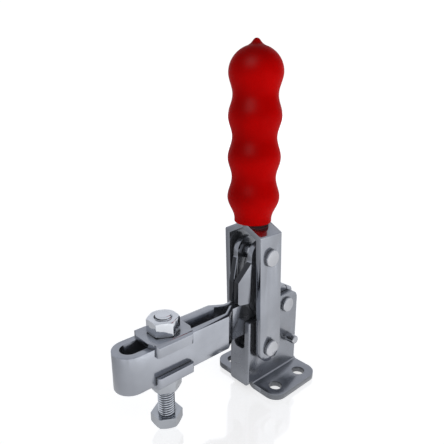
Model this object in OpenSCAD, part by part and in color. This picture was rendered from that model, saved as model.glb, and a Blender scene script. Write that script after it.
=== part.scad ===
// Vertical handle toggle clamp with a U-bar arm and a flanged base.
// Frame: +X towards the spindle, +Y towards the near handle plate, +Z up.
// The origin lies on the underside of the base, centred between its four holes.
// Every size is in millimetres.

/* [Base] */
// Sheet the base is folded from
base_sheet = 3.2; // [2:0.1:4]
// Play on each side of the arm between the base plates
arm_side_play = 0.35; // [0.1:0.05:0.8]
// Front face of the web
base_front = 21.1; // [19:0.1:24]
// Rear edge of the flanges
base_rear = -18.1; // [-24:0.1:-17]
// How far the side plates stop short of the flanges behind
plate_rear_step = 0.9; // [0:0.1:2]
// Outside radius of the two upright bends beside the web
front_bend_radius = 1.0; // [0.5:0.1:2]
// Top edge of the web
web_top = 23.6; // [20:0.1:28]
// Radius where the top of the web runs up into the side plates
web_top_radius = 2.6; // [1:0.1:3.6]
// Underside of the web above the bench
web_bottom = 2.4; // [0:0.1:5]
// Top of the side plates at the front
plate_front_height = 40.2; // [36:0.1:41]
// Width over both flanges
flange_width = 47.5; // [40:0.1:60]
// Front edge of the flanges
flange_front = 17.5; // [14:0.1:19]
// Corner radius of the flanges
flange_corner = 6.8; // [2:0.1:9]
// Inside radius of the bend between side plate and flange
flange_bend_radius = 0.9; // [0.3:0.1:2]
// Hole spacing along the arm
hole_spacing_x = 19.3; // [14:0.1:22]
// Hole spacing across the arm
hole_spacing_y = 32.5; // [28:0.1:40]
// Mounting hole diameter
hole_diameter = 7.0; // [5:0.1:8]

/* [Pivots] */
// Arm pivot, distance behind the origin
arm_pivot_back = 8.2; // [6:0.1:11]
// Arm pivot height
arm_pivot_height = 41.7; // [38:0.1:44]
// Handle pivot, distance in front of the origin
handle_pivot_front = 10.4; // [8:0.1:12]
// Handle pivot height
handle_pivot_height = 24.6; // [22:0.1:27]
// Distance from the handle pivot to the upper link pivot
handle_crank = 51.1; // [46:0.1:56]
// Distance from the handle pivot to the lower link pivot
link_pivot_reach = 24.9; // [24:0.1:27]
// Forward lean of the closed handle plates
handle_lean = 2.0; // [0:0.1:4]

/* [Rivets] */
// Shank diameter of the handle rivets
rivet_shank = 5.2; // [4:0.1:6]
// Head diameter of the handle rivets
rivet_head = 8.6; // [8:0.1:11]
// Shank diameter of the arm pivot rivet
arm_rivet_shank = 4.0; // [3.6:0.1:4.6]
// Head diameter of the arm pivot rivet
arm_rivet_head = 8.2; // [7:0.1:10]
// Head height of the visible rivets
rivet_head_height = 1.7; // [1:0.1:2.2]
// Radial running clearance of a pin
pin_clearance = 0.06; // [0.02:0.01:0.1]
// Radial room of the arm pivot rivet in the arm's slotted eye
eye_clearance = 0.15; // [0.1:0.01:0.3]
// Side clearance between moving plates
side_clearance = 0.1; // [0.05:0.01:0.2]
// Gap left between touching fixed pieces
fit_gap = 0.03; // [0.01:0.01:0.05]

/* [Handle] */
// Sheet of the handle plates
handle_sheet = 3.0; // [2.5:0.1:3.5]
// Gap between link and handle plate, filled by a washer
washer_gap = 2.85; // [2.5:0.05:3.6]
// Room between the lower link rivet's heads and the handle plates
lower_head_room = 1.35; // [0.9:0.05:1.5]
// Breadth of one handle plate
handle_breadth = 15.2; // [13:0.1:17]
// Room between the links' upper eyes and the fold of the plates
fold_room = 2.3; // [0.5:0.1:5]
// Slope of the folded shoulders above the horizontal
shoulder_slope = 26.5; // [20:0.5:40]
// Breadth of the tang in the grip
tang_breadth = 12.0; // [8:0.1:14]
// Length of the tang inside the grip
tang_length = 58.0; // [30:1:66]

/* [Grip] */
// Distance of the grip axis in front of the origin
grip_axis = 13.0; // [11:0.1:15]
// Length of the grip with its small knob
grip_length = 85.3; // [83:0.1:90]
// How far the grip's collar reaches over the shoulders of the plates
grip_seat = 0.2; // [0:0.05:0.5]
// Centre of the lowest swelling above the lower end
first_swelling = 12.9; // [11:0.1:14]
// Distance from one swelling to the next
swelling_pitch = 19.3; // [18:0.1:20]
// Largest radius of the swellings
grip_bulge = 12.75; // [11:0.05:14]
// Radius at the waists between the swellings
grip_waist = 10.75; // [9.5:0.05:12]
// Radius of the collar at the lower end
grip_collar = 9.2; // [8.8:0.05:10]
// Radius of the small knob
grip_knob = 2.6; // [2:0.05:4]
// Height of the small knob
grip_knob_height = 2.5; // [1.5:0.1:4]

/* [Links] */
// Sheet of the links
link_sheet = 2.9; // [2.5:0.1:3.2]
// Eye radius at the upper pivot
link_upper_eye = 7.6; // [6.5:0.1:8]
// Eye radius at the lower pivot
link_lower_eye = 6.9; // [5.5:0.1:7.5]
// Rear edge of the neck behind the line of the pivots
link_neck = 5.4; // [4:0.1:6]
// Front of the stop toe
toe_front = 25.7; // [24:0.1:27]
// Upper end of the toe's straight front edge
toe_shoulder = 62.8; // [58:0.1:66]
// Where the sloping edge meets the link's neck
toe_top = 73.6; // [66:0.1:75]
// Gap between the toe and the top of the arm
toe_gap = 0.15; // [0.05:0.01:0.4]

/* [Arm] */
// Thickness of the bar
arm_bar = 3.4; // [3:0.1:3.6]
// Height of the bar
arm_height = 17.5; // [15:0.1:20]
// Underside of the bar above the bench
arm_bottom = 32.9; // [31:0.1:35]
// Width of the slot between the legs
slot_width = 8.64; // [8.3:0.02:9.5]
// Tip of the arm
arm_tip = 93.7; // [85:0.1:110]
// Where the legs start to draw together
joggle_front = 35.2; // [34:0.1:38]
// Length over which they draw together
joggle_length = 6.6; // [6:0.1:8]
// Seam left between the legs behind the joggle
leg_seam = 0.1; // [0.05:0.01:0.2]
// Rear radius of the arm around its pivot
arm_rear_radius = 9.0; // [8:0.1:9.4]
// Radius of the lobe around the lower link pivot
arm_lobe_radius = 7.2; // [6:0.1:7.6]

/* [Linkage] */
// Opening angle of the handle
handle_travel = 66; // [50:1:70]
// Turn of the links on the handle for each degree of the handle
link_ratio = 0.918; // [0.85:0.001:0.95]
// Lift of the arm for each degree of the handle
arm_ratio = 1.2747; // [1:0.0001:1.4]

/* [Spindle] */
// Spindle axis, distance in front of the origin
spindle_axis = 68.7; // [50:0.1:84]
// Thread diameter
thread_diameter = 8.0; // [7.5:0.1:8.4]
// Nut and bolt head size across the flats
hex_flats = 13.0; // [12:0.1:14]
// Nut height
nut_height = 6.8; // [5:0.1:8]
// Bolt head height
head_height = 5.3; // [4:0.1:7]
// Underside of the bolt head above the bench
head_clear = 4.9; // [2:0.1:8]
// Bolt end above the upper nut
bolt_proud = 1.2; // [0.5:0.1:3]
// Thickness of the flanged washers
washer_sheet = 2.0; // [1.5:0.1:2.5]
// Corner radius of the flanged washers seen from above
washer_corner = 1.6; // [0.5:0.1:3]
// Radius of the flanged washers
washer_radius = 11.3; // [10:0.1:13]
// Height of their bent sides
washer_side = 5.7; // [4:0.1:7]
// Length of their bent sides
washer_side_length = 19.4; // [14:0.1:20]
// Side clearance of the washers on the arm
washer_play = 0.2; // [0.1:0.05:0.5]

/* [Stop pin] */
// Stop pin diameter
stop_diameter = 4.7; // [3:0.1:5]
// Length of the stop pin
stop_length = 26.4; // [25:0.1:32]
// Stop pin, distance behind the origin
stop_back = 10.1; // [8:0.1:12]
// Stop pin height
stop_height = 20.9; // [18:0.1:24]

/* [Hidden] */

bore_fn = 72;
arm_half_rear = arm_bar + leg_seam / 2;
base_inner_half = arm_half_rear + arm_side_play;
base_outer_half = base_inner_half + base_sheet;
link_inner_half = arm_half_rear + side_clearance;
link_outer_half = link_inner_half + link_sheet;
handle_inner_half = link_outer_half + washer_gap;
handle_outer_half = handle_inner_half + handle_sheet;
slot_half = slot_width / 2;
arm_half = slot_half + arm_bar;
arm_top = arm_bottom + arm_height;
tip_centre = arm_tip - arm_half;

pivot_arm = [-arm_pivot_back, arm_pivot_height];
pivot_handle = [handle_pivot_front, handle_pivot_height];
lean_way = [sin(handle_lean), cos(handle_lean)];
pivot_upper = pivot_handle + handle_crank * lean_way;
pivot_lower = pivot_handle + link_pivot_reach * lean_way;

// The fold of the handle plates clears the links, and the grip sits on the folded shoulders
fold_inside = pivot_upper[1] + link_upper_eye + fold_room;
fold_outside = fold_inside + handle_sheet * tan((90 - shoulder_slope) / 2);
shoulder_top = fold_outside + (handle_outer_half - fit_gap / 2 - handle_sheet) * tan(shoulder_slope);
grip_bottom = shoulder_top - grip_seat;
grip_top = grip_bottom + grip_length;
tang_top = grip_bottom + tang_length;

// Larger than the clamp, for the solids that are cut to shape
reach = grip_top + 10;
side_reach = flange_width / 2;

pin_r = rivet_shank / 2;
arm_pin_r = arm_rivet_shank / 2;
link_rivet_head_height = washer_gap - side_clearance - lower_head_room;
hole_r = pin_r + pin_clearance;
fixed_hole_r = pin_r + fit_gap;
head_r = rivet_head / 2;
spacer_r = head_r - 0.3;

steel = [0.62, 0.63, 0.66];
bright = [0.78, 0.79, 0.83];
red = [0.62, 0.02, 0.02];

// A flat plate lying in X and Z, from depth y0 to y1
module plate(y0, y1) {
    translate([0, y1, 0]) rotate([90, 0, 0]) linear_extrude(y1 - y0) children();
}

// A round bar across the clamp, centred at c in X and Z
module cross_bar(c, r, y0, y1) {
    translate([c[0], y1, c[1]]) rotate([90, 0, 0]) cylinder(h = y1 - y0, r = r, $fn = bore_fn);
}

// A rivet with a flat head on both ends, set as one solid of revolution
module rivet(c, shank_r, head_radius, head_h, inner_half) {
    edge = 0.35;
    translate([c[0], 0, c[1]]) rotate([90, 0, 0])
        rotate_extrude($fn = bore_fn) polygon([
            [0, -inner_half - head_h], [head_radius - edge, -inner_half - head_h],
            [head_radius, -inner_half - head_h + edge], [head_radius, -inner_half],
            [shank_r, -inner_half], [shank_r, inner_half],
            [head_radius, inner_half], [head_radius, inner_half + head_h - edge],
            [head_radius - edge, inner_half + head_h], [0, inner_half + head_h]]);
}

// A flat ring across the clamp
module ring(c, r_out, r_in, y0, y1) {
    difference() {
        cross_bar(c, r_out, y0, y1);
        cross_bar(c, r_in, y0 - 1, y1 + 1);
    }
}

// Outline of the base plates seen from the side
module base_side_outline() {
    ear_top = pivot_arm[1] + 6.1;
    ear_front = pivot_arm[0] + 7;
    plate_rear = base_rear + plate_rear_step;
    below = -8;
    offset(r = -1.6, $fn = 32) offset(r = 1.6, $fn = 32) {
        intersection() {
            offset(r = 3.4, $fn = 48) offset(r = -3.4) polygon([
                [plate_rear, below], [plate_rear, ear_top], [ear_front, ear_top],
                [ear_front + 6, plate_front_height - 1.5], [ear_front + 6, below]]);
            hull() {
                translate([plate_rear + 5, ear_top - 5]) circle(r = 5, $fn = 64);
                translate([plate_rear, below]) square(1);
                translate([ear_front + 6, below]) square([1, ear_top - below]);
            }
        }
        offset(r = 1, $fn = 24) offset(r = -1) polygon([[pivot_arm[0], below], [pivot_arm[0], plate_front_height],
            [base_front, plate_front_height], [base_front, below]]);
    }
}

module base_frame() {
    o = base_outer_half;
    i = base_inner_half;
    bend_out = flange_bend_radius + base_sheet;
    color(steel) difference() {
        union() {
            // The upright U of web and side plates
            intersection() {
                linear_extrude(reach) difference() {
                    hull() {
                        for (s = [-1, 1]) translate([base_front - front_bend_radius, s * (o - front_bend_radius)])
                            circle(r = front_bend_radius, $fn = 64);
                        translate([base_rear, -o]) square([1, 2 * o]);
                    }
                    hull() {
                        for (s = [-1, 1]) translate([base_front - base_sheet - 0.5, s * (i - 0.5)])
                            circle(r = 0.5, $fn = 24);
                        translate([base_rear - 1, -i]) square([1, 2 * i]);
                    }
                }
                plate(-o - 1, o + 1) base_side_outline();
                // Lower corners of the web are rounded and stand clear of the bench
                union() {
                    translate([base_rear - 1, -o - 1, 0])
                        cube([flange_front - base_rear + 1, 2 * o + 2, reach]);
                    translate([flange_front - 0.01, 0, 0]) rotate([90, 0, 90]) linear_extrude(side_reach)
                        translate([-o, web_bottom]) offset(r = 2.4, $fn = 32) offset(r = -2.4)
                            square([2 * o, reach]);
                }
            }
            // The two flanges
            intersection() {
                linear_extrude(bend_out) offset(r = flange_corner, $fn = 72) offset(r = -flange_corner)
                    translate([base_rear, -flange_width / 2])
                        square([flange_front - base_rear, flange_width]);
                translate([base_rear, 0, 0]) rotate([90, 0, 90]) linear_extrude(flange_front - base_rear)
                    for (s = [0, 1]) mirror([s, 0]) difference() {
                        union() {
                            translate([i, 0]) square([flange_width / 2 - i, base_sheet]);
                            translate([i, 0]) square([base_sheet + flange_bend_radius, bend_out]);
                        }
                        translate([o + flange_bend_radius, bend_out])
                            circle(r = flange_bend_radius, $fn = 48);
                    }
            }
        }
        // Opening above the web, between the side plates
        translate([base_front - base_sheet - 2, 0, 0]) rotate([90, 0, 90]) linear_extrude(base_sheet + 4)
            offset(r = web_top_radius, $fn = 64) offset(r = -web_top_radius)
                translate([-i, web_top]) square([2 * i, reach]);
        // Outside of the flange bends, on the underside
        for (s = [0, 1]) mirror([0, s, 0])
            translate([base_rear - 1, 0, 0]) rotate([90, 0, 90])
                linear_extrude(flange_front - base_rear + 1.02) difference() {
                    translate([i - 0.01, -1]) square([bend_out, bend_out + 1]);
                    translate([i + bend_out, bend_out]) circle(r = bend_out, $fn = 64);
                }
        // Mounting holes
        for (x = [-1, 1], y = [-1, 1])
            translate([x * hole_spacing_x / 2, y * hole_spacing_y / 2, -1])
                cylinder(h = base_sheet + 2, d = hole_diameter, $fn = bore_fn);
        cross_bar(pivot_arm, arm_pin_r + fit_gap, -o - 1, o + 1);
        cross_bar(pivot_handle, fixed_hole_r, -o - 1, o + 1);
        cross_bar([-stop_back, stop_height], stop_diameter / 2 + fit_gap, -o - 1, o + 1);
    }
}

module arm_pivot_pin() {
    color(bright) rivet(pivot_arm, arm_pin_r, arm_rivet_head / 2, rivet_head_height, base_outer_half + fit_gap);
}

module handle_pivot_pin() {
    color(bright) rivet(pivot_handle, pin_r, head_r, rivet_head_height, handle_outer_half + side_clearance);
}

module base_spacer() {
    color(steel) ring(pivot_handle, spacer_r, fixed_hole_r, -base_inner_half + fit_gap, base_inner_half - fit_gap);
}

module handle_washer(s) {
    color(steel) ring(pivot_handle, spacer_r, fixed_hole_r,
        s > 0 ? base_outer_half + fit_gap : -handle_inner_half + side_clearance,
        s > 0 ? handle_inner_half - side_clearance : -base_outer_half - fit_gap);
}

module handle_washer_near() {
    handle_washer(1);
}

module handle_washer_far() {
    handle_washer(-1);
}

module stop_pin() {
    color(steel) translate([-stop_back, 0, stop_height]) rotate([90, 0, 0])
        rotate_extrude($fn = bore_fn) polygon([
            [0, -stop_length / 2], [stop_diameter / 2 - 0.4, -stop_length / 2],
            [stop_diameter / 2, -stop_length / 2 + 0.4], [stop_diameter / 2, stop_length / 2 - 0.4],
            [stop_diameter / 2 - 0.4, stop_length / 2], [0, stop_length / 2]]);
}

// Outline of the arm seen from the side
module arm_side_outline() {
    a = pivot_arm;
    b = pivot_lower;
    translate([b[0], arm_bottom]) square([arm_tip + 1 - b[0], arm_height]);
    hull() {
        translate(a) circle(r = arm_rear_radius, $fn = 96);
        translate(a + [-5.8, 5.2]) circle(r = 2.5, $fn = 48);
        translate(a + [2.7, 5.5]) circle(r = 6.4, $fn = 96);
        translate(b) circle(r = arm_lobe_radius, $fn = 96);
        translate([b[0], arm_bottom]) square([arm_lobe_radius - 1, arm_height / 2]);
    }
}

// Plan of the bent bar
module arm_plan() {
    j0 = joggle_front;
    j1 = joggle_front - joggle_length;
    h = slot_half;
    o = arm_half;
    r = arm_half_rear;
    k = 0.9;
    rear = pivot_arm[0] - 2 * arm_rear_radius;
    difference() {
        union() {
            translate([tip_centre, 0]) circle(r = o, $fn = 128);
            polygon([[tip_centre, -o], [tip_centre, o], [j0 + k, o], [j1 + k, r], [rear, r],
                [rear, -r], [j1 + k, -r], [j0 + k, -o]]);
        }
        translate([tip_centre, 0]) circle(r = h, $fn = 96);
        polygon([[tip_centre, -h], [tip_centre, h], [j0, h], [j1, leg_seam / 2], [rear - 1, leg_seam / 2],
            [rear - 1, -leg_seam / 2], [j1, -leg_seam / 2], [j0, -h]]);
    }
}

// Where the arm pivot wanders in the arm while the linkage opens by its even ratios
function turned(p, a) = [p[0] * cos(a) - p[1] * sin(a), p[0] * sin(a) + p[1] * cos(a)];
function eye_point(t) =
    let (upper = pivot_handle + turned(pivot_upper - pivot_handle, t),
        lower = upper + turned(pivot_lower - pivot_upper, (1 + link_ratio) * t))
    pivot_lower + turned(pivot_arm - lower, -arm_ratio * t);

// The slotted eye, the one place where the closed linkage is left open
module arm_eye() {
    plate(-side_reach, side_reach) offset(r = arm_pin_r + eye_clearance, $fn = 48)
        polygon([for (t = [0:handle_travel / 11:handle_travel - 1]) eye_point(t)]);
}

module clamp_arm() {
    color(steel) difference() {
        intersection() {
            linear_extrude(reach) arm_plan();
            plate(-arm_half - 1, arm_half + 1) arm_side_outline();
        }
        arm_eye();
        cross_bar(pivot_lower, hole_r, -side_reach, side_reach);
    }
}

module link_lower_pin() {
    color(bright) rivet(pivot_lower, pin_r, head_r - 0.8, link_rivet_head_height, link_outer_half + side_clearance);
}

// Side outline of a link: two eyes, a waisted neck and the stop toe in front
module link_outline() {
    u = pivot_upper;
    l = pivot_lower;
    x0 = u[0] + link_upper_eye;
    mid = (u + l) / 2;
    seat = arm_top + toe_gap;
    offset(r = -1, $fn = 24) offset(r = 1) {
        hull() {
            translate(u) circle(r = link_upper_eye, $fn = 96);
            translate(u + [-0.6, -7]) circle(r = link_upper_eye - 0.6, $fn = 96);
            translate(u + [link_upper_eye - 1, -12]) circle(r = 1, $fn = 24);
        }
        hull() {
            translate(l) circle(r = link_lower_eye, $fn = 96);
            translate(mid - [link_neck - 1, 0]) circle(r = 1, $fn = 24);
            translate([x0 - 1, seat + 2.4]) circle(r = 1, $fn = 24);
        }
        polygon([[mid[0] - link_neck, mid[1]], [u[0] - link_neck, u[1] - 8], [x0, u[1] - 8],
            [x0, seat + 2], [l[0], seat + 2]]);
        offset(r = 1.2, $fn = 24) offset(r = -1.2) polygon([
            [x0 - 4, toe_top + 1], [x0, toe_top], [toe_front, toe_shoulder],
            [toe_front, seat], [x0 - 4, seat + 1.5]]);
    }
}

// Plan of a link: flat plate, slanting web and the toe above the arm leg
module link_plan() {
    x0 = pivot_upper[0] + link_upper_eye;
    i = link_inner_half;
    t = link_sheet;
    m = leg_seam / 2 + 0.35;
    polygon([[x0 - reach, i], [x0 - reach, i + t], [x0 + 0.5, i + t], [toe_front, m + t], [toe_front + 1, m + t],
        [toe_front + 1, m], [toe_front - 0.8, m], [x0 - 0.3, i]]);
}

module link(s) {
    color(steel) mirror([0, s > 0 ? 0 : 1, 0]) difference() {
        intersection() {
            linear_extrude(reach) link_plan();
            plate(0, side_reach) link_outline();
        }
        cross_bar(pivot_upper, hole_r, -side_reach, side_reach);
        cross_bar(pivot_lower, fixed_hole_r, -side_reach, side_reach);
    }
}

module link_near() {
    link(1);
}

module link_far() {
    link(-1);
}

// Strip outline of a handle plate seen from the side
module handle_outline() {
    c = pivot_handle;
    r = handle_breadth / 2;
    top = c + (fold_inside - c[1]) / lean_way[1] * lean_way;
    hull() {
        translate(c) circle(r = r, $fn = 128);
        translate([top[0] - r, fold_inside]) square([2 * r, 1]);
    }
    translate([top[0] - r, fold_inside]) square([2 * r, shoulder_top + 1 - fold_inside]);
    translate([grip_axis - tang_breadth / 2, fold_inside]) square([tang_breadth, tang_top - fold_inside]);
}

// Folded section of a handle plate seen from the front
module handle_section() {
    o = handle_outer_half;
    i = handle_inner_half;
    t = handle_sheet;
    m = fit_gap / 2;
    k = tan(shoulder_slope);
    zi = fold_inside;
    zo = fold_outside;
    offset(r = 0.8, $fn = 24) offset(r = -0.8)
    offset(r = -0.5, $fn = 24) offset(r = 0.5) polygon([
        [i, 0], [o, 0], [o, zo], [m + t, shoulder_top], [m + t, tang_top],
        [m, tang_top], [m, zi + (i - m) * k], [i, zi]]);
}

module handle_plate(s) {
    color(steel) mirror([0, s > 0 ? 0 : 1, 0]) difference() {
        intersection() {
            rotate([90, 0, 90]) translate([0, 0, -reach / 2]) linear_extrude(reach) handle_section();
            plate(0, side_reach) handle_outline();
            // The shoulders stop at the grip, and only the narrower tang goes on
            union() {
                translate([-reach / 2, 0, 0]) cube([reach, side_reach, grip_bottom - fit_gap]);
                translate([grip_axis - tang_breadth / 2, 0, 0]) cube([tang_breadth, side_reach, reach]);
            }
        }
        cross_bar(pivot_handle, hole_r, 0, side_reach);
        cross_bar(pivot_upper, fixed_hole_r, 0, side_reach);
    }
}

module handle_plate_near() {
    handle_plate(1);
}

module handle_plate_far() {
    handle_plate(-1);
}

module link_upper_pin() {
    color(bright) rivet(pivot_upper, pin_r, head_r, rivet_head_height, handle_outer_half + fit_gap);
}

module link_spacer() {
    color(steel) ring(pivot_upper, spacer_r, fixed_hole_r, -link_inner_half + side_clearance,
        link_inner_half - side_clearance);
}

module link_washer(s) {
    color(steel) ring(pivot_upper, spacer_r, fixed_hole_r,
        s > 0 ? link_outer_half + side_clearance : -handle_inner_half + fit_gap,
        s > 0 ? handle_inner_half - fit_gap : -link_outer_half - side_clearance);
}

module link_washer_near() {
    link_washer(1);
}

module link_washer_far() {
    link_washer(-1);
}

// Half section of the grip: four swellings, a collar below and a small knob on top
function swelling(n) = grip_bottom + first_swelling + n * swelling_pitch;
function grip_radius(z) = (grip_bulge + grip_waist) / 2
    + (grip_bulge - grip_waist) / 2 * cos(360 * (z - swelling(0)) / swelling_pitch);
function collar_radius(z, from) =
    grip_collar + (grip_bulge - grip_collar) * (1 - cos(180 * (z - from) / (swelling(0) - from))) / 2;

module grip_profile() {
    shoulder = swelling(3);
    dome = grip_top - grip_knob_height - shoulder;
    knob_base = shoulder + dome * sqrt(1 - pow(grip_knob / grip_bulge, 2));
    collar_top = grip_bottom + 2.4;
    edge = 0.9;
    polygon(concat(
        [[0, grip_bottom]],
        [for (a = [0:15:90]) [grip_collar - edge + edge * sin(a), grip_bottom + edge - edge * cos(a)]],
        [for (z = [collar_top:0.9:swelling(0) - 0.5]) [collar_radius(z, collar_top), z]],
        [for (z = [swelling(0):1.0:shoulder - 0.5]) [grip_radius(z), z]],
        [for (a = [0:6:acos(grip_knob / grip_bulge)]) [grip_bulge * cos(a), shoulder + dome * sin(a)]],
        [[grip_knob, knob_base], [0.6 * grip_knob, grip_top - 0.8]],
        [for (a = [30:20:90]) [0.6 * grip_knob * cos(a), grip_top - 0.8 + 0.8 * sin(a)]]));
}

module grip() {
    color(red) difference() {
        translate([grip_axis, 0, 0]) rotate_extrude($fn = 120) grip_profile();
        translate([grip_axis - tang_breadth / 2 - fit_gap, -handle_sheet - 2 * fit_gap, grip_bottom - 5])
            cube([tang_breadth + 2 * fit_gap, 2 * handle_sheet + 4 * fit_gap, tang_top - grip_bottom + 5 + fit_gap]);
    }
}

// A hexagon with its corners towards the sides of the arm, turned edges on top and below
module hex_body(h, top_cut, bottom_cut) {
    r = hex_flats / 2 / cos(30);
    f = hex_flats / 2 + 0.1;
    d = (r - f) * tan(30);
    intersection() {
        rotate([0, 0, 30]) cylinder(h = h, r = r, $fn = 6);
        rotate_extrude($fn = 96) polygon([
            [0, 0], [bottom_cut ? f : r + 1, 0], [r + 1, bottom_cut ? d * (r + 1 - f) / (r - f) : 0],
            [r + 1, top_cut ? h - d * (r + 1 - f) / (r - f) : h], [top_cut ? f : r + 1, h], [0, h]]);
    }
}

thread_r = thread_diameter / 2;
upper_washer_top = arm_top + fit_gap + washer_sheet;
lower_washer_bottom = arm_bottom - fit_gap - washer_sheet;
nut_top = upper_washer_top + fit_gap + nut_height;

module nut(z) {
    color(bright) translate([spindle_axis, 0, z]) difference() {
        hex_body(nut_height, true, true);
        translate([0, 0, -1]) cylinder(h = nut_height + 2, r = thread_r + pin_clearance, $fn = bore_fn);
    }
}

module nut_upper() {
    nut(upper_washer_top + fit_gap);
}

module nut_lower() {
    nut(lower_washer_bottom - fit_gap - nut_height);
}

module spindle() {
    color(bright) translate([spindle_axis, 0, 0]) {
        translate([0, 0, head_clear]) hex_body(head_height, false, true);
        rotate_extrude($fn = bore_fn) polygon([
            [0, head_clear + 1], [thread_r, head_clear + 1], [thread_r, nut_top + bolt_proud - 0.8],
            [thread_r - 0.8, nut_top + bolt_proud], [0, nut_top + bolt_proud]]);
    }
}

// Flanged washer drawn with its bent sides pointing down from z = 0
module flanged_washer() {
    w = arm_half + washer_play;
    o = w + washer_sheet;
    difference() {
        intersection() {
            // The blank seen from above: a disc with two straight sides
            translate([0, 0, washer_sheet - washer_side]) linear_extrude(washer_side)
                offset(r = washer_corner, $fn = 32) offset(r = -washer_corner) {
                    intersection() {
                        circle(r = washer_radius + 0.9, $fn = 120);
                        square([2 * washer_radius, 2 * o], center = true);
                    }
                    square([washer_side_length, 2 * o], center = true);
                }
            // The same blank bent down on both sides
            rotate([90, 0, 90]) translate([0, 0, -reach / 2]) linear_extrude(reach) difference() {
                offset(r = washer_sheet, $fn = 64) offset(r = -washer_sheet)
                    translate([-o, washer_sheet - 2 * washer_side]) square([2 * o, 2 * washer_side]);
                translate([-w, -2 * washer_side]) square([2 * w, 2 * washer_side]);
            }
        }
        translate([0, 0, -1]) cylinder(h = washer_sheet + 2, r = thread_r + 0.25, $fn = bore_fn);
    }
}

module flanged_washer_upper() {
    color(steel) translate([spindle_axis, 0, arm_top + fit_gap]) flanged_washer();
}

module flanged_washer_lower() {
    color(steel) translate([spindle_axis, 0, arm_bottom - fit_gap]) mirror([0, 0, 1]) flanged_washer();
}

base_frame();
arm_pivot_pin();
handle_pivot_pin();
base_spacer();
handle_washer_near();
handle_washer_far();
stop_pin();
clamp_arm();
link_lower_pin();
link_near();
link_far();
handle_plate_near();
handle_plate_far();
link_upper_pin();
link_spacer();
link_washer_near();
link_washer_far();
grip();
flanged_washer_upper();
flanged_washer_lower();
nut_upper();
nut_lower();
spindle();
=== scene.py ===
"""A vertical handle toggle clamp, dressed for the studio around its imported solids."""

import math

import bpy
import numpy as np
from mathutils import Matrix, Vector


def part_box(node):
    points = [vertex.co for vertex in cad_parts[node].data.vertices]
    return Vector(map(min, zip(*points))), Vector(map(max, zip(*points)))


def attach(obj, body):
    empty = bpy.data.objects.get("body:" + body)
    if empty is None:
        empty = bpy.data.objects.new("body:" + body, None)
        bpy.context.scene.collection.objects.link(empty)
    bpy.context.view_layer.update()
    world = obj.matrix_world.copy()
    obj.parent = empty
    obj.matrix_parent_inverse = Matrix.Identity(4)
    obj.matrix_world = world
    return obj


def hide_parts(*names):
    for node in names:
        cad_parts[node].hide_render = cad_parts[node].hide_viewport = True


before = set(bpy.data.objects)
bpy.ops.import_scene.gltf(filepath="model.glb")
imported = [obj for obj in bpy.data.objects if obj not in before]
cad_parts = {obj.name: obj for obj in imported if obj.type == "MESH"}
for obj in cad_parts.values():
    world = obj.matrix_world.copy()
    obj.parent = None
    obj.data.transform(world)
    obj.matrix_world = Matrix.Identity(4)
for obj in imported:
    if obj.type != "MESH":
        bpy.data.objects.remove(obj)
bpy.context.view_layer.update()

# The camera stands where the photograph was taken: beyond the tip of the arm and a little above the pivots.
# Its place, direction and lens come from a fit to the clamp's own edges and holes.
scene = bpy.context.scene
camera_place = Vector((0.16452, 0.14406, 0.15304))
camera_azimuth = math.radians(137.77)
camera_elevation = math.radians(16.44)
camera_roll = math.radians(0.11)
sensor_width = 36.0
picture_width = 444
focal_pixels = 433.84
camera_data = bpy.data.cameras.new("camera")
camera_data.sensor_width = sensor_width
camera_data.lens = focal_pixels / picture_width * sensor_width
camera_data.clip_start = 0.01
camera = bpy.data.objects.new("camera", camera_data)
camera_turn = (
    Matrix.Rotation(camera_azimuth, 4, "Z")
    @ Matrix.Rotation(math.radians(90) - camera_elevation, 4, "X")
    @ Matrix.Rotation(camera_roll, 4, "Z")
)
camera.matrix_world = Matrix.Translation(camera_place) @ camera_turn
scene.collection.objects.link(camera)
scene.camera = camera
scene.view_settings.view_transform = "Standard"

# The studio is a white cyclorama. The backdrop that the camera sees is plain white, the soft light on the
# clamp is dim, and what the polished steel mirrors is a bright dome of slightly uneven grey.
world = bpy.data.worlds.new("studio")
scene.world = world
world.use_nodes = True
sky = world.node_tree
sky.nodes.clear()
direction = sky.nodes.new("ShaderNodeTexCoord")
height = sky.nodes.new("ShaderNodeSeparateXYZ")
sky.links.new(direction.outputs["Generated"], height.inputs["Vector"])
sky_tint = (0.96, 0.98, 1.04)


def dome(stops):
    """A sky whose grey goes from stop to stop with the height of the direction, a little blue."""
    ramp = sky.nodes.new("ShaderNodeValToRGB")
    ramp.color_ramp.interpolation = "EASE"
    while len(ramp.color_ramp.elements) < len(stops):
        ramp.color_ramp.elements.new(0.5)
    for stop, (place, grey) in zip(ramp.color_ramp.elements, stops):
        stop.position = place
        stop.color = tuple(grey * part for part in sky_tint) + (1,)
    light = sky.nodes.new("ShaderNodeBackground")
    sky.links.new(height.outputs["Z"], ramp.inputs["Fac"])
    sky.links.new(ramp.outputs["Color"], light.inputs["Color"])
    return light


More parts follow.
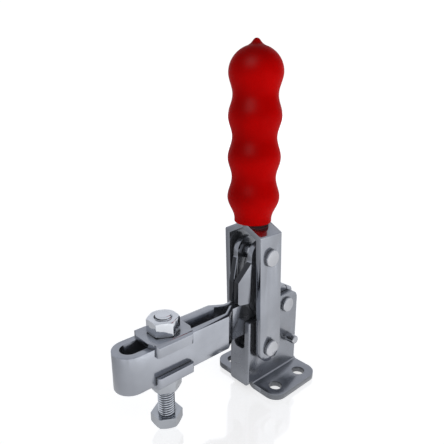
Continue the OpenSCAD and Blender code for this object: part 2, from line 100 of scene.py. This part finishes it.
soft_dome = dome(((0.0, 0.40), (0.4, 0.24), (1.0, 0.16)))
mirrored_dome = dome(((0.0, 0.95), (0.30, 0.80), (0.60, 0.90), (1.0, 0.75)))
backdrop = sky.nodes.new("ShaderNodeBackground")
backdrop.inputs["Color"].default_value = (1, 1, 1, 1)
backdrop.inputs["Strength"].default_value = 1.05
ray = sky.nodes.new("ShaderNodeLightPath")
lit_or_mirrored = sky.nodes.new("ShaderNodeMixShader")
seen = sky.nodes.new("ShaderNodeMixShader")
sky_out = sky.nodes.new("ShaderNodeOutputWorld")
for source, target in (
    (ray.outputs["Is Glossy Ray"], lit_or_mirrored.inputs["Fac"]),
    (soft_dome.outputs["Background"], lit_or_mirrored.inputs[1]),
    (mirrored_dome.outputs["Background"], lit_or_mirrored.inputs[2]),
    (ray.outputs["Is Camera Ray"], seen.inputs["Fac"]),
    (lit_or_mirrored.outputs["Shader"], seen.inputs[1]),
    (backdrop.outputs["Background"], seen.inputs[2]),
    (seen.outputs["Shader"], sky_out.inputs["Surface"]),
):
    sky.links.new(source, target)


def soft_box(name, place, aim, side, power, mirrored):
    """A square studio soft box of even light at place, turned to face aim. It either is mirrored in the
    clamp or lights it, and the camera doesn't see it."""
    data = bpy.data.lights.new(name, "AREA")
    data.shape = "SQUARE"
    data.size = side
    data.energy = power
    box = bpy.data.objects.new(name, data)
    facing = (Vector(aim) - Vector(place)).to_track_quat("-Z", "Y")
    box.matrix_world = Matrix.Translation(place) @ facing.to_matrix().to_4x4()
    box.visible_camera = False
    box.visible_glossy = mirrored
    box.visible_diffuse = not mirrored
    scene.collection.objects.link(box)
    return box


soft_box("ceiling_box", place=(0.1, 0.1, 0.75), aim=(0.02, 0, 0), side=0.8, power=0.25, mirrored=False)
soft_box("low_front_box", place=(-0.03, 0.41, 0.02), aim=(0, 0, 0.13), side=0.25, power=1.2, mirrored=False)

# The floor is a sheet of polished white acrylic, lit from below. It mirrors the clamp faintly and a little
# blurred. In the steel it shows brighter on the camera's side and darker on the other, as a floor between
# two walls would.
floor_reach = 3.0
seen_glow = 0.67
least_mirrored_glow = 0.06
most_mirrored_glow = 0.86
floor_mesh = bpy.data.meshes.new("floor")
floor_corners = [(-floor_reach, -floor_reach, 0), (floor_reach, -floor_reach, 0)]
floor_corners += [(floor_reach, floor_reach, 0), (-floor_reach, floor_reach, 0)]
floor_mesh.from_pydata(floor_corners, [], [(0, 1, 2, 3)])
floor = bpy.data.objects.new("floor", floor_mesh)
scene.collection.objects.link(floor)
acrylic_white = (0.85, 0.85, 0.855, 1)
acrylic = bpy.data.materials.new("white_acrylic")
acrylic.use_nodes = True
acrylic_shader = acrylic.node_tree.nodes["Principled BSDF"]
acrylic_shader.inputs["Base Color"].default_value = acrylic_white
acrylic_shader.inputs["Roughness"].default_value = 0.08
acrylic_shader.inputs["IOR"].default_value = 2.4
acrylic_shader.inputs["Emission Color"].default_value = (1, 1, 1, 1)
spot = acrylic.node_tree.nodes.new("ShaderNodeTexCoord")
way_out = acrylic.node_tree.nodes.new("ShaderNodeVectorMath")
way_out.operation = "NORMALIZE"
side_of_floor = acrylic.node_tree.nodes.new("ShaderNodeSeparateXYZ")
mirrored_glow = acrylic.node_tree.nodes.new("ShaderNodeMapRange")
mirrored_glow.inputs["From Min"].default_value = -1.0
mirrored_glow.inputs["From Max"].default_value = 1.0
mirrored_glow.inputs["To Min"].default_value = least_mirrored_glow
mirrored_glow.inputs["To Max"].default_value = most_mirrored_glow
floor_ray = acrylic.node_tree.nodes.new("ShaderNodeLightPath")
glow = acrylic.node_tree.nodes.new("ShaderNodeMix")
glow.inputs["A"].default_value = seen_glow
for source, target in (
    (spot.outputs["Object"], way_out.inputs[0]),
    (way_out.outputs["Vector"], side_of_floor.inputs["Vector"]),
    (side_of_floor.outputs["Y"], mirrored_glow.inputs["Value"]),
    (mirrored_glow.outputs["Result"], glow.inputs["B"]),
    (floor_ray.outputs["Is Glossy Ray"], glow.inputs["Factor"]),
    (glow.outputs["Result"], acrylic_shader.inputs["Emission Strength"]),
):
    acrylic.node_tree.links.new(source, target)
floor_mesh.materials.append(acrylic)

# The base is folded from one sheet of 3.2 mm steel: a web in front, two side plates and two flanges with
# four holes. Like all the plates it is blanked, bent and polished, with soft edges and a fine grain, and
# the rims of its flanges keep the darker sheared face.
millimetre = 0.001


def polished_steel(name, grey, roughness, grain_scale, tint=(0.87, 0.91, 1.0), gap=12.0):
    """Mirror-like steel with faint clouds in its colour, uneven gloss and a fine grain, drawn out along the
    axis whose scale is low. Within about gap millimetres of other surfaces, in gaps and recesses, ambient
    occlusion darkens the colour and lowers the metallic: painted shade."""
    darkest = 0.3
    lightest = 0.7
    dark_share = 0.88
    light_share = 1.10
    paint = bpy.data.materials.new(name)
    paint.use_nodes = True
    tree = paint.node_tree
    shader = tree.nodes["Principled BSDF"]
    place = tree.nodes.new("ShaderNodeTexCoord")
    clouds = tree.nodes.new("ShaderNodeTexNoise")
    clouds.inputs["Scale"].default_value = 60.0
    clouds.inputs["Detail"].default_value = 3.0
    tone = tree.nodes.new("ShaderNodeValToRGB")
    tone.color_ramp.elements[0].position = darkest
    tone.color_ramp.elements[1].position = lightest
    for stop, share in zip(tone.color_ramp.elements, (dark_share, light_share)):
        stop.color = tuple(min(1.0, grey * share * part) for part in tint) + (1,)
    # Painted shade: ambient occlusion darkens the colour and lowers the metallic in gaps and recesses.
    openness = tree.nodes.new("ShaderNodeAmbientOcclusion")
    openness.samples = 8
    openness.inputs["Distance"].default_value = gap * millimetre
    painted_shade = tree.nodes.new("ShaderNodeMapRange")
    painted_shade.inputs["From Min"].default_value = 0.15
    painted_shade.inputs["From Max"].default_value = 0.70
    painted_shade.inputs["To Min"].default_value = 0.35
    darker = tree.nodes.new("ShaderNodeVectorMath")
    darker.operation = "SCALE"
    gloss = tree.nodes.new("ShaderNodeMapRange")
    gloss.inputs["From Min"].default_value = darkest
    gloss.inputs["From Max"].default_value = lightest
    gloss.inputs["To Min"].default_value = roughness * 0.8
    gloss.inputs["To Max"].default_value = roughness * 1.25
    grain_place = tree.nodes.new("ShaderNodeMapping")
    grain_place.inputs["Scale"].default_value = grain_scale
    grain = tree.nodes.new("ShaderNodeTexNoise")
    grain.inputs["Scale"].default_value = 1.0
    grain.inputs["Detail"].default_value = 2.0
    bump = tree.nodes.new("ShaderNodeBump")
    bump.inputs["Strength"].default_value = 0.08
    bump.inputs["Distance"].default_value = 0.03 * millimetre
    for source, target in (
        (place.outputs["Object"], clouds.inputs["Vector"]),
        (clouds.outputs["Fac"], tone.inputs["Fac"]),
        (openness.outputs["AO"], painted_shade.inputs["Value"]),
        (painted_shade.outputs["Result"], darker.inputs["Scale"]),
        (painted_shade.outputs["Result"], shader.inputs["Metallic"]),
        (tone.outputs["Color"], darker.inputs[0]),
        (darker.outputs["Vector"], shader.inputs["Base Color"]),
        (clouds.outputs["Fac"], gloss.inputs["Value"]),
        (gloss.outputs["Result"], shader.inputs["Roughness"]),
        (place.outputs["Object"], grain_place.inputs["Vector"]),
        (grain_place.outputs["Vector"], grain.inputs["Vector"]),
        (grain.outputs["Fac"], bump.inputs["Height"]),
        (bump.outputs["Normal"], shader.inputs["Normal"]),
    ):
        tree.links.new(source, target)
    return paint


def soften_edges(name, paint, radius):
    """Give a solid its finish and break its sharp edges with a small even round, radius in millimetres."""
    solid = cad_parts[name]
    solid.data.materials.clear()
    solid.data.materials.append(paint)
    solid.data.polygons.foreach_set("use_smooth", np.ones(len(solid.data.polygons), dtype=bool))
    weld = solid.modifiers.new("weld", "WELD")
    weld.merge_threshold = 0.004 * millimetre
    edge = solid.modifiers.new("edge", "BEVEL")
    edge.width = radius * millimetre
    edge.segments = 2
    edge.limit_method = "ANGLE"
    edge.angle_limit = math.radians(32)
    edge.harden_normals = True


# Used for the flanges' sheared rims and for painted shade on the link toes and in the thread roots.
def mix_colour_where(paint, colour, mask):
    """Mix a colour into a finish where the socket mask is 1, ahead of its shader."""
    tree = paint.node_tree
    shader = tree.nodes["Principled BSDF"]
    clean = shader.inputs["Base Color"].links[0].from_socket
    colour_mix = tree.nodes.new("ShaderNodeMix")
    colour_mix.data_type = "RGBA"
    colour_mix.inputs["B"].default_value = colour + (1,)
    tree.links.new(mask, colour_mix.inputs["Factor"])
    tree.links.new(clean, colour_mix.inputs["A"])
    tree.links.new(colour_mix.outputs["Result"], shader.inputs["Base Color"])


def faces_where(paint, tests):
    """A mask that is 1 where every test holds. A test takes one axis of the place, in metres from the
    middle to either side, or of the way that the surface faces, and compares it with a limit."""
    tree = paint.node_tree
    coordinates = tree.nodes.new("ShaderNodeTexCoord")
    either_side = tree.nodes.new("ShaderNodeVectorMath")
    either_side.operation = "ABSOLUTE"
    tree.links.new(coordinates.outputs["Object"], either_side.inputs[0])
    measured = {"place": either_side.outputs["Vector"], "facing": coordinates.outputs["Normal"]}
    masks = []
    for measure, axis, comparison, limit in tests:
        axes = tree.nodes.new("ShaderNodeSeparateXYZ")
        test = tree.nodes.new("ShaderNodeMath")
        test.operation = comparison
        test.inputs[1].default_value = limit
        tree.links.new(measured[measure], axes.inputs["Vector"])
        tree.links.new(axes.outputs[axis], test.inputs[0])
        masks.append(test.outputs["Value"])
    whole = masks[0]
    for mask in masks[1:]:
        both = tree.nodes.new("ShaderNodeMath")
        both.operation = "MULTIPLY"
        tree.links.new(whole, both.inputs[0])
        tree.links.new(mask, both.inputs[1])
        whole = both.outputs["Value"]
    return whole


along_x = (60.0, 2500.0, 2500.0)
along_z = (2500.0, 2500.0, 60.0)
sheared_grey = (0.15, 0.157, 0.17)
facing_up = 0.4
flange_rim_top = 3.1 * millimetre
flange_root = 13.0 * millimetre
base_steel = polished_steel("base_steel", grey=0.30, roughness=0.30, grain_scale=along_z)
flange_rims = faces_where(base_steel, (
    ("facing", "Z", "LESS_THAN", facing_up),
    ("place", "Z", "LESS_THAN", flange_rim_top),
    ("place", "Y", "GREATER_THAN", flange_root),
))
mix_colour_where(base_steel, sheared_grey, flange_rims)
soften_edges("base_frame", base_steel, radius=0.25)

# The rivets are turned from bright bar, and so are the spacers and washers that they hold between the
# plates. The rivets' heads are pressed flat and left bright.
turned_grain = (900.0, 900.0, 900.0)
turned_tint = (0.93, 0.95, 1.0)
rivet_steel = polished_steel(
    "rivet_steel", grey=0.45, roughness=0.18, grain_scale=turned_grain, tint=turned_tint, gap=3.0
)
for name in ("arm_pivot_pin", "handle_pivot_pin", "link_upper_pin", "link_lower_pin"):
    soften_edges(name, rivet_steel, radius=0.12)
for name in ("base_spacer", "handle_washer_near", "handle_washer_far"):
    soften_edges(name, rivet_steel, radius=0.1)
for name in ("link_spacer", "link_washer_near", "link_washer_far"):
    soften_edges(name, rivet_steel, radius=0.1)

# The stop pin is a plain length of the same bar, pressed through the side plates near their rear edges,
# below the arm's pivot. It is there to stop the handle when the clamp is opened.
soften_edges("stop_pin", rivet_steel, radius=0.1)

# The two handle plates are flat bars, folded inwards at the top so that their tangs meet in the grip. They
# are polished after they are bent, and the faces in the space between them carry painted shade.
handle_steel = polished_steel("handle_steel", grey=0.33, roughness=0.15, grain_scale=along_z, gap=22.0)
for name in ("handle_plate_near", "handle_plate_far"):
    soften_edges(name, handle_steel, radius=0.2)

# The links are pressed plates between the handle plates. Their toes stop on top of the arm, and the front
# faces of the toes are painted near black as shade.
toe_shade = (0.045, 0.047, 0.052)
facing_front = 0.8
toe_top = 73.1 * millimetre
link_steel = polished_steel("link_steel", grey=0.29, roughness=0.16, grain_scale=along_z)
# Painted shade: the toes' front faces, below the toe top, are made near black.
shaded_toe_fronts = faces_where(link_steel, (
    ("facing", "X", "GREATER_THAN", facing_front),
    ("place", "Z", "LESS_THAN", toe_top),
))
mix_colour_where(link_steel, toe_shade, shaded_toe_fronts)
for name in ("link_near", "link_far"):
    soften_edges(name, link_steel, radius=0.3)

# The arm is one flat bar on edge, bent into a long U around the slot for the spindle. Its two legs are
# drawn together behind the slot and turn side by side on the pivot's rivet.
arm_steel = polished_steel("arm_steel", grey=0.38, roughness=0.16, grain_scale=along_x)
soften_edges("clamp_arm", arm_steel, radius=0.25)


# On the real arm the pivot's eye is a plain hole. A plug of the same steel in each leg closes the part of
# the slotted eye above the rivet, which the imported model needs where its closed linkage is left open.
def rounded_plug(centres, radius, inner, outer):
    """The hull of equal discs, pushed from depth inner to outer: each rim point is the disc centre that
    lies furthest that way, plus the radius that way."""
    turns = np.linspace(0, 2 * np.pi, 96, endpoint=False)
    way = np.stack([np.cos(turns), np.sin(turns)], axis=1)
    rim = centres[np.argmax(way @ centres.T, axis=1)] + radius * way
    count = len(rim)
    points = np.concatenate([np.insert(rim, 1, depth, axis=1) for depth in (inner, outer)])
    low = np.arange(count)
    high = np.roll(low, -1)
    sides = np.stack([low, low + count, high + count, high], axis=1).tolist()
    return points, sides + [low.tolist(), (low[::-1] + count).tolist()]


def add_piece(name, points, faces, paint, body, sharp=32):
    """Put points, in millimetres, and faces into an object of its own that rides on a body. Edges that turn
    by more than sharp degrees stay sharp."""
    mesh = bpy.data.meshes.new(name)
    mesh.from_pydata((np.asarray(points) * millimetre).tolist(), [], faces)
    mesh.polygons.foreach_set("use_smooth", np.ones(len(mesh.polygons), dtype=bool))
    mesh.set_sharp_from_angle(angle=math.radians(sharp))
    mesh.materials.append(paint)
    piece = bpy.data.objects.new(name, mesh)
    scene.collection.objects.link(piece)
    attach(piece, body)
    return piece


arm_pivot = np.array([-8.2, 41.7])
eye_path = arm_pivot + np.array([(-0.27, 4.43), (-1.40, 5.30), (-1.53, 6.60), (-1.18, 7.47), (-0.71, 6.52)])
plug_radius = 2.08
leg_inside = 0.07
leg_outside = 3.43
for name, side in (("arm_eye_plug_near", 1), ("arm_eye_plug_far", -1)):
    depths = sorted((side * leg_inside, side * leg_outside))
    points, faces = rounded_plug(eye_path, plug_radius, *depths)
    add_piece(name, points, faces, arm_steel, "arm")

# The flanged washers are blanked discs with two sides bent over the arm, so that they slide along it
# unturned. They are pressed from 2 mm sheet and polished like the arm.
washer_steel = polished_steel("washer_steel", grey=0.36, roughness=0.16, grain_scale=along_x)
for name in ("flanged_washer_upper", "flanged_washer_lower"):
    soften_edges(name, washer_steel, radius=0.3)

# The spindle is an M8 hexagon bolt, head down, held by two nuts. All three are zinc plated. The lower nut
# and the head, below the arm, get a darker copy of the plating as painted shade. The shank has its whole
# rolled thread, with painted shade in its roots, and the head the turned chamfer of a stamped bolt.
plated_grain = (400.0, 400.0, 400.0)
bright_tint = (0.92, 0.95, 1.0)
bluer_tint = (0.90, 0.94, 1.0)
bright_zinc = polished_steel(
    "bright_zinc", grey=0.66, roughness=0.08, grain_scale=plated_grain, tint=bright_tint, gap=4.0
)
# Painted shade: a darker copy of the zinc for the lower nut and the head, below the arm.
shaded_zinc = polished_steel(
    "shaded_zinc", grey=0.46, roughness=0.12, grain_scale=plated_grain, tint=bluer_tint, gap=4.0
)
soften_edges("nut_upper", bright_zinc, radius=0.12)
soften_edges("nut_lower", shaded_zinc, radius=0.12)

low_corner, high_corner = (np.array(corner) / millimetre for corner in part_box("spindle"))
spindle_axis = (low_corner[0] + high_corner[0]) / 2
spindle_foot = low_corner[2]
spindle_end = high_corner[2]
flats = high_corner[0] - low_corner[0]


def skin(radius, heights, turns):
    """A closed surface around the upright axis: ring by ring the radius at each height and turn, capped
    with a point on the axis at both ends. Radius has one row for each height and one column for each
    turn."""
    around = np.stack([np.cos(turns), np.sin(turns)])
    rings = np.stack([radius * around[0], radius * around[1], heights + 0 * radius], axis=2).reshape(-1, 3)
    rows, columns = radius.shape
    edge = np.arange(columns)
    after = (edge + 1) % columns
    row_start = np.arange(rows - 1)[:, None] * columns
    low = (row_start + edge).ravel()
    right = (row_start + after).ravel()
    faces = np.stack([low, right, right + columns, low + columns], axis=1).tolist()
    foot = len(rings)
    last = (rows - 1) * columns
    faces += np.stack([after, edge, np.full(columns, foot)], axis=1).tolist()
    faces += np.stack([edge + last, after + last, np.full(columns, foot + 1)], axis=1).tolist()
    caps = [(0, 0, heights[0, 0]), (0, 0, heights[-1, 0])]
    return np.concatenate([rings, caps]), faces


# Head: the radius is the hexagon's, cut by a shallow cone on the underside.
head_height = 5.3
head_top = spindle_foot + head_height
head_rim = 0.08
chamfer_start = flats / 2 * 0.94
chamfer_height = 1.2
chamfer_slope = math.radians(30)
turns = np.linspace(0, 2 * np.pi, 180, endpoint=False)
corner_turn = np.mod(turns + np.pi / 6, np.pi / 3) - np.pi / 6
hexagon = flats / 2 / np.cos(corner_turn)
head_heights = np.concatenate([np.linspace(0, chamfer_height, 13), [head_height - head_rim, head_height]])
cone = chamfer_start + head_heights / math.tan(chamfer_slope)
head_radius = np.minimum(hexagon[None, :], cone[:, None])
head_radius[-1] -= head_rim
points, faces = skin(head_radius, (spindle_foot + head_heights)[:, None], turns)
points += (spindle_axis, 0, 0)
head = add_piece("spindle_head", points, faces, shaded_zinc, "spindle", sharp=20)

# Shank: the radius climbs from root to crest and back once a pitch, and the pattern turns with the height.
# At the end it runs over a quarter of an ellipse to a small flat.
pitch = 1.25
crest = 4.0
root = 3.33
flat_share = 0.15
rows_a_pitch = 12
sunk_in_head = 0.2
end_round = 0.9
end_core = 2.4
end_limit = 3.75
end_flat_share = 0.25
thread_turns = np.linspace(0, 2 * np.pi, 60, endpoint=False)
thread_heights = np.arange(head_top - sunk_in_head, spindle_end - end_round, pitch / rows_a_pitch)
phase = np.mod(thread_heights[:, None] / pitch - thread_turns[None, :] / (2 * np.pi), 1.0)
flank = np.clip((np.abs(2 * phase - 1) - flat_share) / (1 - 2 * flat_share), 0, 1)
thread = root + (crest - root) * flank
end_turn = np.linspace(0, np.pi / 2, 9)[:, None]
end_heights = spindle_end - end_round + end_round * np.sin(end_turn)
end_share = end_flat_share + (1 - end_flat_share) * np.cos(end_turn)
end_radius = end_core + (thread[-1][None, :] - end_core) * end_share
shank_radius = np.concatenate([thread, np.minimum(end_radius, end_limit)])
shank_heights = np.concatenate([thread_heights[:, None], end_heights])
points, faces = skin(shank_radius, shank_heights, thread_turns)
points += (spindle_axis, 0, 0)

# Thread finish: bright plating, with painted shade that goes from dark at the root to nothing part of the
# way up the flank, by the distance from the bolt's axis.
root_shade_colour = (0.02, 0.021, 0.024)
root_shade_full = (root + 0.08) * millimetre
root_shade_gone = (root + 0.58) * millimetre
thread_zinc = polished_steel(
    "thread_zinc", grey=0.72, roughness=0.08, grain_scale=plated_grain, tint=bluer_tint, gap=1.2
)
thread_tree = thread_zinc.node_tree
thread_place = thread_tree.nodes.new("ShaderNodeTexCoord")
from_axis = thread_tree.nodes.new("ShaderNodeVectorMath")
from_axis.operation = "SUBTRACT"
from_axis.inputs[1].default_value = (spindle_axis * millimetre, 0, 0)
sideways = thread_tree.nodes.new("ShaderNodeVectorMath")
sideways.operation = "MULTIPLY"
sideways.inputs[1].default_value = (1, 1, 0)
axis_distance = thread_tree.nodes.new("ShaderNodeVectorMath")
axis_distance.operation = "LENGTH"
root_shade = thread_tree.nodes.new("ShaderNodeMapRange")
root_shade.inputs["From Min"].default_value = root_shade_full
root_shade.inputs["From Max"].default_value = root_shade_gone
root_shade.inputs["To Min"].default_value = 1.0
root_shade.inputs["To Max"].default_value = 0.0
for source, target in (
    (thread_place.outputs["Object"], from_axis.inputs[0]),
    (from_axis.outputs["Vector"], sideways.inputs[0]),
    (sideways.outputs["Vector"], axis_distance.inputs[0]),
    (axis_distance.outputs["Value"], root_shade.inputs["Value"]),
):
    thread_tree.links.new(source, target)
mix_colour_where(thread_zinc, root_shade_colour, root_shade.outputs["Result"])
shank = add_piece("spindle_thread", points, faces, thread_zinc, "spindle", sharp=50)
shank.data.materials.append(bright_zinc)
face_centres = np.zeros(len(shank.data.polygons) * 3)
shank.data.polygons.foreach_get("center", face_centres)
is_end = face_centres[2::3] > (spindle_end - end_round) * millimetre
shank.data.polygons.foreach_set("material_index", is_end.astype(np.int32))
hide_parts("spindle")
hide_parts("spindle")

# The grip is moulded over the tangs in soft red vinyl, with four swellings for the fingers, a plain collar
# below and the small nipple that the mould leaves on top.
darker_red = (0.37, 0.0, 0.0, 1)
lighter_red = (0.43, 0.0, 0.0, 1)
vinyl = bpy.data.materials.new("red_vinyl")
vinyl.use_nodes = True
vinyl_shader = vinyl.node_tree.nodes["Principled BSDF"]
vinyl_shader.inputs["Specular IOR Level"].default_value = 0.02
vinyl_place = vinyl.node_tree.nodes.new("ShaderNodeTexCoord")
vinyl_clouds = vinyl.node_tree.nodes.new("ShaderNodeTexNoise")
vinyl_clouds.inputs["Scale"].default_value = 70.0
vinyl_tone = vinyl.node_tree.nodes.new("ShaderNodeValToRGB")
vinyl_tone.color_ramp.elements[0].position = 0.35
vinyl_tone.color_ramp.elements[0].color = darker_red
vinyl_tone.color_ramp.elements[1].position = 0.65
vinyl_tone.color_ramp.elements[1].color = lighter_red
vinyl_gloss = vinyl.node_tree.nodes.new("ShaderNodeMapRange")
vinyl_gloss.inputs["To Min"].default_value = 0.38
vinyl_gloss.inputs["To Max"].default_value = 0.48
vinyl_pores = vinyl.node_tree.nodes.new("ShaderNodeTexNoise")
vinyl_pores.inputs["Scale"].default_value = 420.0
vinyl_bump = vinyl.node_tree.nodes.new("ShaderNodeBump")
vinyl_bump.inputs["Strength"].default_value = 0.06
vinyl_bump.inputs["Distance"].default_value = 0.2 * millimetre
for source, target in (
    (vinyl_place.outputs["Object"], vinyl_clouds.inputs["Vector"]),
    (vinyl_clouds.outputs["Fac"], vinyl_tone.inputs["Fac"]),
    (vinyl_tone.outputs["Color"], vinyl_shader.inputs["Base Color"]),
    (vinyl_clouds.outputs["Fac"], vinyl_gloss.inputs["Value"]),
    (vinyl_gloss.outputs["Result"], vinyl_shader.inputs["Roughness"]),
    (vinyl_place.outputs["Object"], vinyl_pores.inputs["Vector"]),
    (vinyl_pores.outputs["Fac"], vinyl_bump.inputs["Height"]),
    (vinyl_bump.outputs["Normal"], vinyl_shader.inputs["Normal"]),
):
    vinyl.node_tree.links.new(source, target)

low_corner, high_corner = (np.array(corner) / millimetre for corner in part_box("grip"))
grip_axis = (low_corner[0] + high_corner[0]) / 2
grip_bottom = low_corner[2]
grip_top = high_corner[2]
swell = (high_corner[0] - low_corner[0]) / 2
waist = 10.75
collar = 9.2
collar_height = 1.9
lip_round = 0.9
underside_hole = 6.0
first_swelling = grip_bottom + 12.9
swelling_pitch = 19.3
top_swelling = first_swelling + 3 * swelling_pitch
nipple_height = 2.5
nipple_foot = 4.6
nipple_shoulder = (1.5, grip_top - 0.7)
dome_height = grip_top - nipple_height - top_swelling


def bezier(points, steps):
    """A cubic curve through the first and last of four points, drawn towards the two between."""
    t = np.linspace(0, 1, steps)[:, None]
    a, b, c, d = (np.array(point) for point in points)
    return (1 - t) ** 3 * a + 3 * (1 - t) ** 2 * t * b + 3 * (1 - t) * t ** 2 * c + t ** 3 * d


# Outline, from the underside up: a rounded lip, a skirt that widens along half a cosine wave, the swellings
# along a whole wave each, an elliptic crown, and the nipple's foot and tip.
lip_turn = np.linspace(0, np.pi / 2, 7)
lip_radius = collar - lip_round + lip_round * np.sin(lip_turn)
lip = np.stack([lip_radius, grip_bottom + lip_round - lip_round * np.cos(lip_turn)], axis=1)
rise = np.linspace(grip_bottom + collar_height, first_swelling, 24)
rise_share = (rise - rise[0]) / (rise[-1] - rise[0])
skirt = np.stack([collar + (swell - collar) * (1 - np.cos(np.pi * rise_share)) / 2, rise], axis=1)
along = np.linspace(first_swelling, top_swelling, 110)[1:]
wave = np.cos(2 * np.pi * (along - first_swelling) / swelling_pitch)
waves = np.stack([(swell + waist) / 2 + (swell - waist) / 2 * wave, along], axis=1)
crown_turn = np.linspace(0, math.acos(nipple_foot / swell), 26)[1:]
crown = np.stack([swell * np.cos(crown_turn), top_swelling + dome_height * np.sin(crown_turn)], axis=1)
crown_top = crown[-1][1]
nipple_start = (nipple_foot, crown_top)
nipple = bezier((nipple_start, (3.2, crown_top + 0.5), (2.3, grip_top - 1.9), nipple_shoulder), 9)[1:]
tip = bezier((nipple_shoulder, (1.1, grip_top - 0.25), (0.7, grip_top), (0.15, grip_top)), 6)[1:]
outline = np.concatenate([[(underside_hole, grip_bottom)], lip, skirt, waves, crown, nipple, tip])
grip_turns = np.linspace(0, 2 * np.pi, 128, endpoint=False)
points, faces = skin(outline[:, :1] + 0 * grip_turns[None, :], outline[:, 1:], grip_turns)
points += (grip_axis, 0, 0)
grip = add_piece("grip_skin", points, faces, vinyl, "handle", sharp=60)
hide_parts("grip")

# A soft box over the arm is aimed at the grip alone, where it leaves a dull highlight on each swelling.
over_arm = (0.42, 0.14, 0.52)
grip_box = soft_box("grip_box", place=over_arm, aim=(0, 0, 0.12), side=0.30, power=6.0, mirrored=True)
grip_only = bpy.data.collections.new("grip_only")
grip_only.objects.link(grip)
grip_box.light_linking.receiver_collection = grip_only
